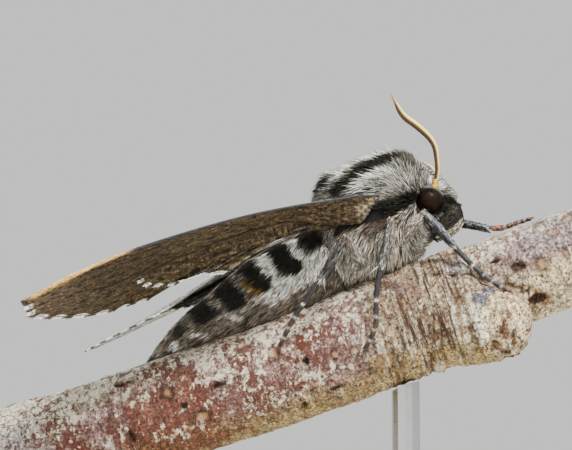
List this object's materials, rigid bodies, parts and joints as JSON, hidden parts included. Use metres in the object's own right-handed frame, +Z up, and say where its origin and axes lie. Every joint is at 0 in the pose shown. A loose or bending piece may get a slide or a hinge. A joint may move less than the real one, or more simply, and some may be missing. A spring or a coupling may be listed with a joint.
{
  "type": "pine hawk-moth model",
  "caption": "Life-size pine hawk-moth at rest on a cut length of branch, wings swept back, on a plain display stand.",
  "frame": {"origin": "bottom centre of the bounding box, on the underside of the stand's base", "axes": "+X the way the moth faces, +Y its left side, +Z up"},
  "size_m": [0.062, 0.0403, 0.0601],
  "materials": {
    "fur": "soft, matt",
    "banded_fur": "soft, matt",
    "wing_scales": "matt",
    "leg_scales": "matt",
    "feeler": "matt",
    "eye": "gloss",
    "bark": "rough",
    "stand": "satin paint",
    "rod": "satin"
  },
  "bodies": {
    "root": {"head": "fur", "thorax": "fur", "abdomen": "banded_fur", "eye_left": "eye", "palp_left": "fur", "antenna_left": "feeler", "forewing_left": "wing_scales", "hindwing_left": "wing_scales", "leg_fore_left": "leg_scales", "leg_mid_left": "leg_scales", "leg_hind_left": "leg_scales", "eye_right": "eye", "palp_right": "fur", "antenna_right": "feeler", "forewing_right": "wing_scales", "hindwing_right": "wing_scales", "leg_fore_right": "leg_scales", "leg_mid_right": "leg_scales", "leg_hind_right": "leg_scales", "perch_branch": "bark", "stand_base": "stand", "stand_rod_back": "rod", "stand_rod_front": "rod"}
  },
  "joints": []
}
